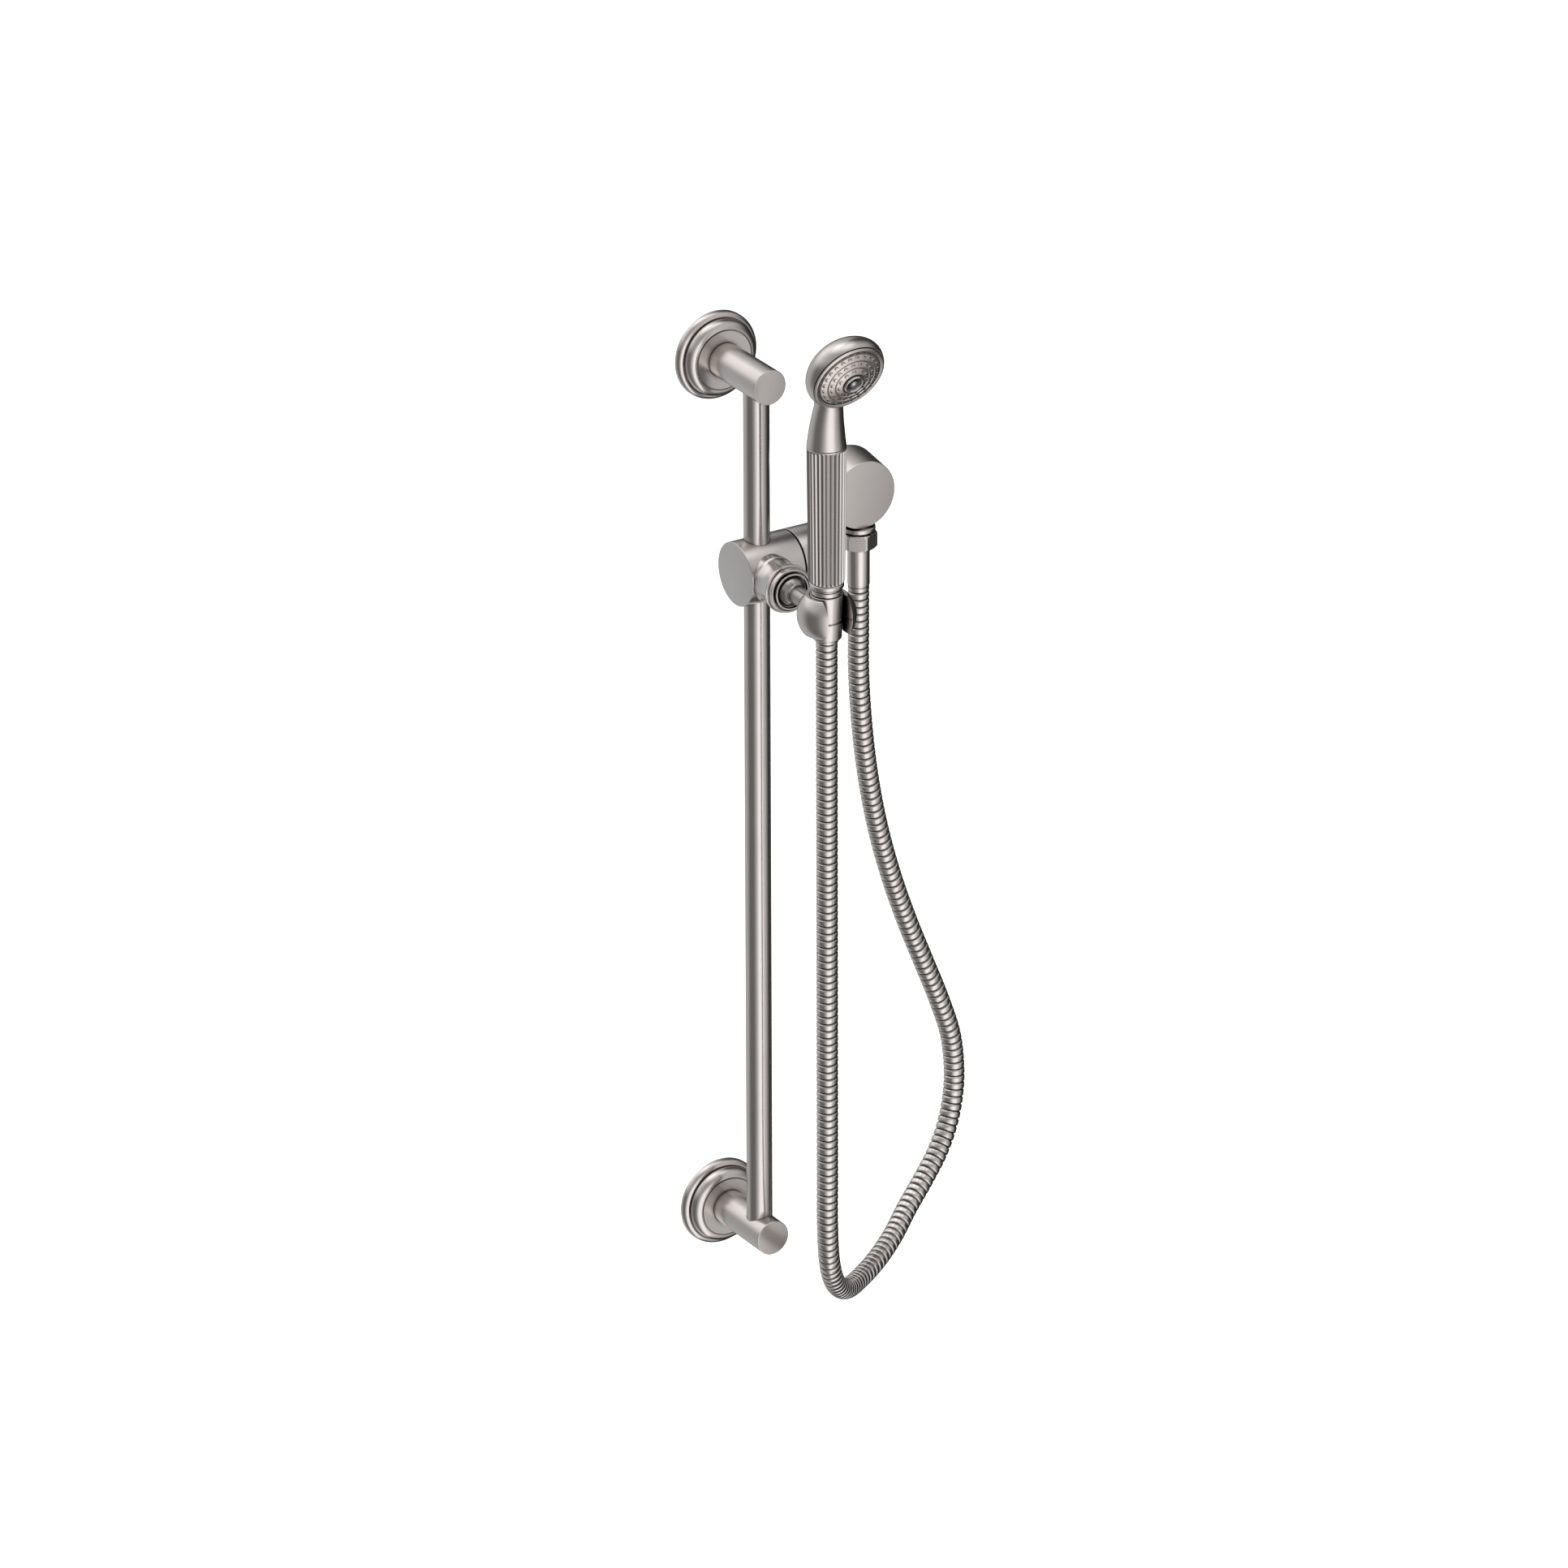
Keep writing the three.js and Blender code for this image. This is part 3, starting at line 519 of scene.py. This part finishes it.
def head_shell():
    """A flattened ball cut off at the face, with the neck grown into its back and a hollow for water."""
    radial, axial, back, wall = 27.15, 16.7, 6.0, 2.0

    def ellipsoid(shrink, segments):
        points = [(r * (radial - shrink), z * (axial - shrink)) for r, z in arc(0, 0, 1, -90, 90, segments)]
        return on_face(placed(turned(points, 160), UPRIGHT, (0, 0, -back)))

    outline = smooth_path([(12.9, 594.6), (12.7, 596), (12.2, 600), (11.75, 604), (11.1, 609),
                           (10.45, 614), (9.9, 618.5), (9.5, 622), (9.6, 626), (10.0, 630),
                           (9.9, 634.5), (8.6, 638.5), (6, 641.5), (3, 643), (0, 643.3)])
    neck = lean(turned([(0, 594), (12.75, 594), (12.9, 594.2), *outline], 128))
    waterway = lean(turned([(0, 595), (7.2, 595), (7.2, 612), (6.4, 620), (6.4, 636.5), (0, 636.5)], 64))
    socket = turned([(0, 590), (10.3, 590), (10.3, 600.3), (0, 600.3)], 96)
    front = on_face(turned([(0, -0.9), (radial, -0.9), (radial, 30), (0, 30)], 128))
    return boolean(ellipsoid(0, 96), ("UNION", placed(neck, UPRIGHT, HANDLE)),
                   ("DIFFERENCE", ellipsoid(wall, 48)), ("DIFFERENCE", placed(waterway, UPRIGHT, HANDLE)),
                   ("DIFFERENCE", placed(socket, UPRIGHT, HANDLE)), ("DIFFERENCE", front))


# Radius and height of the spray face where one ring steps to the next, from the rim in.
DOME = [(21.6, 0.7), (16.8, 2.3), (12.1, 3.7), (7.3, 5.0)]
# Radius of each ring of nozzles, and how many it has.
NOZZLES = [(19.3, 24), (14.4, 18), (9.7, 11)]


def dome_height(r):
    rs, hs = [p[0] for p in DOME][::-1], [p[1] for p in DOME][::-1]
    return float(np.interp(r, rs, hs))


def spray_face():
    """Three rings stepped by dark grooves, with a nozzle in a small raised rim at each place."""
    outside = []
    for (r0, h0), (r1, h1) in zip(DOME, DOME[1:]):
        outside += [(r0 - 0.05, h0 - 0.35), (r0 - 0.35, h0 - 0.35), (r0 - 0.5, h0 + 0.15),
                    (r0 - 0.8, h0 + 0.3), ((r0 + r1) / 2, (h0 + h1) / 2 + 0.3),
                    (r1 + 0.6, h1 + 0.15), (r1 + 0.3, h1 - 0.05)]
    plate = turned([(2.1, 3.4), (7.3, 3.4), (21.6, -0.9), *outside, (7.3, 4.4), (7.1, 4.9), (2.1, 4.9),
                    (2.1, 3.4)], 160)
    rim = turned([(1.12, -0.9), (1.5, -0.9), (1.48, 0.05), (1.38, 0.2), (1.22, 0.22), (1.14, 0.1),
                  (1.12, -0.9)], 20)
    tip = turned([(0, -1.2), (1.1, -1.2), (1.1, -0.05), (0.5, 0.0), (0.4, -0.5), (0, -0.6)], 16)
    rims, tips = [], []
    for r, count in NOZZLES:
        h = dome_height(r) + 0.3
        for k in range(count):
            a = TAU * k / count
            at = (r * math.cos(a), r * math.sin(a), h)
            rims.append(placed(rim, UPRIGHT, at))
            tips.append(placed(tip, UPRIGHT, at))
    add_piece("spray_plate_rings", on_face(plate), soft_nickel, "handset", ["spray_plate"],
              40)
    add_piece("nozzle_rims", on_face(joined(*rims)), soft_nickel, "handset", [], 60)
    add_piece("nozzle_tips", on_face(joined(*tips)), silicone, "handset", ["nozzle_mat"],
              60)


def head():
    add_piece("head_shell_smooth", head_shell(), satin_nickel, "handset", ["head_shell"],
              35)
    bezel = soften([(21.9, -2.6), (23.1, -2.6), (23.1, -0.6), (25.1, -0.6, 0.3), (25.2, 0.2, 0.5),
                    (24.2, 0.95, 0.6), (22.1, 0.7, 0.3), (21.9, 0.2), (21.9, -2.6)])
    add_piece("face_bezel_ring", on_face(turned(bezel, 160)), satin_nickel, "handset", ["face_bezel"])
    spray_face()
    cup = soften([(2.1, 5.2), (6.7, 5.2, 0.2), (6.8, 6.0, 0.4), (6.3, 6.85, 0.35), (5.6, 6.8, 0.3),
                  (4.7, 5.45, 0.3), (2.1, 5.4), (2.1, 5.2)])
    dish = turned(cup, 96)
    ring = add_piece("centre_cup_ring", on_face(dish), polished_nickel, "handset", ["centre_cup"])
    # Painted shade, 0.8 deep, over the dish floor inside a radius of 5.4 mm, fading in towards the rim.
    shade_grooves(ring, 0.8 * np.clip((5.4 - np.hypot(dish[0][:, 0], dish[0][:, 1])) / 0.6, 0, 1))
    crown = arc(0, 4.6, 2.7, 32, 90, 10)[:-1]
    screw = turned([(0, -4), (1.6, -4), (1.6, 5.75), (2.5, 5.75), *crown, (0, 7.3)], 64)
    slot = box_shape((-4, -0.3, 6.75), (4, 0.3, 9))
    add_piece("centre_screw_slotted", on_face(boolean(screw, ("DIFFERENCE", slot))), plain_steel, "handset",
              ["centre_screw"])


# ---------------------------------------------------------------- wall supply elbow
ELBOW = (98, 0, 497.5)
OUTLET = (ELBOW[0], -18.75, ELBOW[2])


def elbow():
    drum = soften([(0, 0), (26.2, 0, 0.3), (26.05, 1.5), (23.5, 25.0), (23.35, 26, 0.8), (0, 26)])
    neck = turned([(0, -26.2), (7.1, -26.2), (7.1, -14), (0, -14)], 96)
    lip = turned(soften([(0, -26.2), (11.2, -26.2, 0.5), (11.2, -23.6, 0.5), (0, -23.6)]), 96)
    inlet = turned([(0, -1), (10.6, -1), (10.6, 13), (0, 13)], 96)
    passage = turned([(0, 12), (5.5, 12), (5.5, 22), (0, 22)], 64)
    outlet = turned([(0, -30), (6, -30), (6, 3), (0, 3)], 64)
    screw_hole = turned([(0, -30), (2, -30), (2, -8), (0, -8)], 32)
    body = boolean(placed(turned(drum, 160), OUTWARD, ELBOW),
                   ("UNION", placed(neck, UPRIGHT, OUTLET)), ("UNION", placed(lip, UPRIGHT, OUTLET)),
                   ("DIFFERENCE", placed(inlet, OUTWARD, ELBOW)),
                   ("DIFFERENCE", placed(passage, OUTWARD, ELBOW)),
                   ("DIFFERENCE", placed(outlet, UPRIGHT, OUTLET)),
                   ("DIFFERENCE", placed(screw_hole, UPRIGHT, (ELBOW[0], -5, ELBOW[2]))))
    add_piece("elbow_drum", body, satin_nickel, "wall_set", ["elbow_body"], FLAT_CAPS)
    add_piece("hose_nut_hex", hex_nut(), satin_nickel, "wall_set", ["hose_nut"], 20)
    sleeve = soften([(5.2, -66.2), (6.9, -66.2, 0.2), (6.95, -65.2), (7.4, -64.9, 0.2), (7.4, -38.9, 0.3),
                     (5.2, -38.9), (5.2, -66.2)])
    add_piece("hose_sleeve_round", placed(turned(sleeve, 96), UPRIGHT, OUTLET), upright_nickel, "wall_set",
              ["hose_sleeve"])


def hex_nut():
    """Six flats with softened corners and a turned chamfer at each end."""
    flat, corner, z0, z1, segments = 11.0, 12.45, -38.6, -27.4, 192
    levels = [(z0, 10.6), (z0 + 0.25, 11.3), (z0 + 0.8, 12.1), (z0 + 1.4, 12.7)]
    levels += [(z, 13.0) for z in np.linspace(z0 + 2, z1 - 2, 5)]
    levels += [(z1 - 1.4, 12.7), (z1 - 0.8, 12.1), (z1 - 0.25, 11.3), (z1, 10.6)]
    twist = math.radians(-5.5)
    around = np.linspace(0, TAU, segments, endpoint=False)
    off_flat = (around + math.pi / 6) % (math.pi / 3) - math.pi / 6
    hexagon = np.minimum(flat / np.cos(off_flat), corner)
    verts, faces = [], []
    rows = [[(z, min(limit, r), a) for r, a in zip(hexagon, around)] for z, limit in levels]
    rows = [[(z0, 8.5, a) for a in around]] + rows + [[(z1, 8.5, a) for a in around]]
    for row in rows:
        verts += [(r * math.cos(a + twist), r * math.sin(a + twist), z) for z, r, a in row]
    for i in range(len(rows)):
        j = (i + 1) % len(rows)
        for k in range(segments):
            n = (k + 1) % segments
            faces.append((i * segments + k, i * segments + n, j * segments + n, j * segments + k))
    return placed((np.array(verts, float), faces), UPRIGHT, OUTLET)


# ---------------------------------------------------------------- hose
HOSE_R = 7.1
RIB_PITCH = 5.0
GROOVE_DEPTH = 0.9
HOSE_BORE_R = 4.5
# Share of the pitch and height of the rib there: a narrow groove, then a flat-topped rib.
RIB_SECTION = ((0, 0), (0.07, 0.1), (0.13, 0.7), (0.22, 0.95), (0.36, 1), (0.64, 1), (0.78, 0.95),
               (0.87, 0.7), (0.93, 0.1))
HOSE_ROUTE = [
    (0, -0.137, 0.4575), (0, -0.137, 0.400), (0, -0.137, 0.330), (0, -0.137, 0.260), (0, -0.137, 0.190),
    (0, -0.137, 0.120), (0, -0.137, 0.075), (0, -0.137, 0.038), (0.004, -0.133, 0.009),
    (0.016, -0.121, -0.015), (0.034, -0.105, -0.031), (0.056, -0.087, -0.037), (0.078, -0.073, -0.035),
    (0.099, -0.060, -0.028), (0.118, -0.048, -0.017), (0.136, -0.039, -0.005), (0.152, -0.032, 0.009),
    (0.163, -0.027, 0.025), (0.169, -0.024, 0.042), (0.1715, -0.022, 0.060), (0.1695, -0.0205, 0.087),
    (0.161, -0.0195, 0.115), (0.149, -0.019, 0.146), (0.136, -0.01875, 0.179), (0.1235, -0.01875, 0.215),
    (0.113, -0.01875, 0.253), (0.1055, -0.01875, 0.291), (0.1005, -0.01875, 0.331),
    (0.098, -0.01875, 0.371), (0.098, -0.01875, 0.402), (0.098, -0.01875, 0.431),
]


def centreline():
    """Close points along a smooth curve through the route, in millimetres, and the length up to each."""
    p = [np.array(q, float) / MM for q in HOSE_ROUTE]
    p = [2 * p[0] - p[1], *p, 2 * p[-1] - p[-2]]
    out = []
    for a, b, c, d in zip(p, p[1:], p[2:], p[3:]):
        ta, tb, tc = (math.sqrt(np.linalg.norm(v - u)) for u, v in ((a, b), (b, c), (c, d)))
        m1 = ((b - a) / ta - (c - a) / (ta + tb) + (c - b) / tb) * tb
        m2 = ((c - b) / tb - (d - b) / (tb + tc) + (d - c) / tc) * tb
        for t in np.linspace(0, 1, 120, endpoint=False):
            cubic = 2 * (b - c) + m1 + m2
            square = 3 * (c - b) - 2 * m1 - m2
            out.append(b + m1 * t + square * t * t + cubic * t ** 3)
    out.append(p[-2])
    line = np.array(out)
    along = np.r_[0, np.cumsum(np.linalg.norm(np.diff(line, axis=0), axis=1))]
    return line, along


def hose_stretch(name, start, end, line, along):
    """A tube between two distances along the hose: flat-topped ribs with narrow grooves between."""
    first, last = math.floor(start / RIB_PITCH), math.ceil(end / RIB_PITCH)
    places = (np.arange(first, last)[:, None] + np.array(RIB_SECTION)[None, :, 0]).ravel() * RIB_PITCH
    inside = places[(places > start + 0.1) & (places < end - 0.1)]
    at = np.r_[start, inside, end]
    centre = np.stack([np.interp(at, along, line[:, k]) for k in range(3)], 1)
    tangent = np.gradient(centre, axis=0)
    tangent /= np.linalg.norm(tangent, axis=1)[:, None]
    side = np.array([1.0, 0.0, 0.0])
    sides, count = [], 40
    for t in tangent:
        side = side - t * (side @ t)
        side /= np.linalg.norm(side)
        sides.append(side)
    sides = np.array(sides)
    other = np.cross(tangent, sides)
    share = (at / RIB_PITCH) % 1
    crown = np.interp(share, *zip(*RIB_SECTION, (1, 0)))
    radius = HOSE_R - GROOVE_DEPTH * (1 - crown)
    angle = np.linspace(0, TAU, count, endpoint=False)
    ring = (sides[:, None, :] * np.cos(angle)[None, :, None]
            + other[:, None, :] * np.sin(angle)[None, :, None])
    outer = centre[:, None, :] + ring * radius[:, None, None]
    inner = centre[[0, -1]][:, None, :] + ring[[0, -1]] * HOSE_BORE_R
    verts = np.concatenate([inner[:1], outer, inner[1:]]).reshape(-1, 3)
    rows = len(at) + 2
    faces = [tuple(range(count))[::-1], tuple(range((rows - 1) * count, rows * count))]
    for i in range(rows - 1):
        for k in range(count):
            n = (k + 1) % count
            faces.append((i * count + k, i * count + n, (i + 1) * count + n, (i + 1) * count + k))
    obj = add_piece(name, (verts, faces), hose_nickel, None, [], 60)
    # Painted shade at the bottom of each groove between ribs, none on the rib tops or the two end rings.
    shade = np.repeat(np.r_[0, np.clip(1 - crown / 0.7, 0, 1), 0], count)
    shade_grooves(obj, shade)
    return obj, centre[::8] * MM


def hose():
    """The hose in five stretches along one centreline, the upper four short and the fifth the main loop."""
    line, along = centreline()
    total = float(along[-1])
    top = 457.5

    def stretch(name, z_high, z_low):
        obj, _ = hose_stretch(name, top - z_high, top - z_low, line, along)
        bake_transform(obj)
        return obj, [(0, -0.137, z * MM) for z in (z_high, z_low)]

    lift, lift_path = stretch("hose_lift_stretch", 457.5, 365)
    roll, _ = stretch("hose_roll_stretch", 365, 290)
    pitch, _ = stretch("hose_pitch_stretch", 290, 205)
    swing, swing_path = stretch("hose_turn_stretch", 205, 90)
    main, path = hose_stretch("hose_main_loop", top - 90, total, line, along)
    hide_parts("hose")
    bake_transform(main)


# ---------------------------------------------------------------- light and floor
def world_light():
    """A studio seen in the metal: a bright strip in front, pale walls to the left, dark to the right."""
    world = bpy.data.worlds.new("studio")
    bpy.context.scene.world = world
    world.use_nodes = True
    n = Nodes(world.node_tree)
    direction = n.add("ShaderNodeTexCoord").outputs["Generated"]
    parts = n.add("ShaderNodeSeparateXYZ", {0: direction})
    along_wall, from_wall = parts.outputs[0], parts.outputs[1]

    def direction_along(x_share, y_share):
        across = n.add("ShaderNodeMath", {0: along_wall, 1: x_share}, operation="MULTIPLY").outputs[0]
        deep = n.add("ShaderNodeMath", {0: from_wall, 1: y_share}, operation="MULTIPLY").outputs[0]
        return n.add("ShaderNodeMath", {0: across, 1: deep}, operation="ADD").outputs[0]

    # The angle round from the viewer's side: 0.5 is the viewer, 0 and 1 are straight behind the set.
    ahead = direction_along(-math.sin(VIEW_AZIMUTH), -math.cos(VIEW_AZIMUTH))
    right = direction_along(math.cos(VIEW_AZIMUTH), -math.sin(VIEW_AZIMUTH))
    angle = n.add("ShaderNodeMath", {0: right, 1: ahead}, operation="ARCTAN2").outputs[0]
    around = n.add("ShaderNodeMapRange", {"Value": angle, "From Min": -math.pi,
                                          "From Max": math.pi}).outputs[0]
    low = n.ramp(around, [(0.0, 0.04), (0.03, 0.16), (0.083, 0.40), (0.175, (0.38, 0.41, 0.42)),
                          (0.22, 0.34), (0.29, 0.12), (0.40, 0.14), (0.46, 0.40), (0.53, 1.0), (0.61, 1.0),
                          (0.65, 0.52), (0.68, 0.45), (0.73, 0.25), (0.78, 0.04), (0.92, 0.01),
                          (1.0, 0.04)])
    high = n.ramp(around, [(0.0, 0.34), (0.06, 0.55), (0.12, 0.95), (0.2, 0.8), (0.3, 0.5), (0.4, 0.35),
                           (0.5, 0.3), (0.6, 0.45), (0.7, 0.5), (0.78, 0.42), (0.86, 0.22), (0.91, 0.04),
                           (0.96, 0.04), (1.0, 0.34)])
    rise = n.add("ShaderNodeMapRange", {"Value": parts.outputs[2], "From Min": 0.05, "From Max": 0.5},
                 interpolation_type="SMOOTHSTEP").outputs[0]
    walls = n.add("ShaderNodeMix", {0: rise, 6: low, 7: high}, data_type="RGBA").outputs[2]
    overhead = n.add("ShaderNodeMapRange", {"Value": parts.outputs[2], "From Min": 0.80, "From Max": 0.97},
                     interpolation_type="SMOOTHSTEP").outputs[0]
    softbox = n.add("ShaderNodeMath", {0: overhead, 1: 0.55}, operation="MULTIPLY").outputs[0]
    glow = n.add("ShaderNodeVectorMath", {0: walls, 1: softbox}, operation="ADD").outputs[0]
    studio = n.add("ShaderNodeBackground", {"Color": glow, "Strength": 1.5}).outputs[0]
    paper = n.add("ShaderNodeBackground", {"Color": (1, 1, 1, 1), "Strength": 1.0}).outputs[0]
    seen = n.add("ShaderNodeLightPath").outputs["Is Camera Ray"]
    both = n.add("ShaderNodeMixShader", {0: seen, 1: studio, 2: paper}).outputs[0]
    n.add("ShaderNodeOutputWorld", {"Surface": both})


def floor():
    size, drop = 9000, -620
    corners = [(-size, -size, drop), (size, -size, drop), (size, size, drop), (-size, size, drop)]
    shape = np.array(corners, float), [(0, 1, 2, 3)]
    obj = bpy.data.objects.new("floor", to_mesh("floor", shape))
    bpy.context.scene.collection.objects.link(obj)
    made = bpy.data.materials.new("floor_pale")
    made.use_nodes = True
    n = Nodes(made.node_tree)
    place = n.add("ShaderNodeTexCoord").outputs["Object"]
    cloud = n.add("ShaderNodeTexNoise", {"Vector": place, "Scale": 1.5}).outputs["Fac"]
    colour = n.ramp(cloud, [(0.0, 0.93), (1.0, 0.96)])
    shader = n.add("ShaderNodeBsdfPrincipled", {"Base Color": colour, "Roughness": 0.9,
                                                "Emission Color": (1, 1, 1, 1), "Emission Strength": 0.62})
    n.add("ShaderNodeOutputMaterial", {"Surface": shader.outputs[0]})
    obj.data.materials.append(made)
    obj.visible_glossy = False


add_camera()
hose()
paint_cad_nodes()
wall_mounts_and_bar()
slider()
ball_joint()
cradle()
hose_end()
grip()
head()
elbow()
world_light()
floor()
bpy.context.scene.view_settings.view_transform = "Standard"
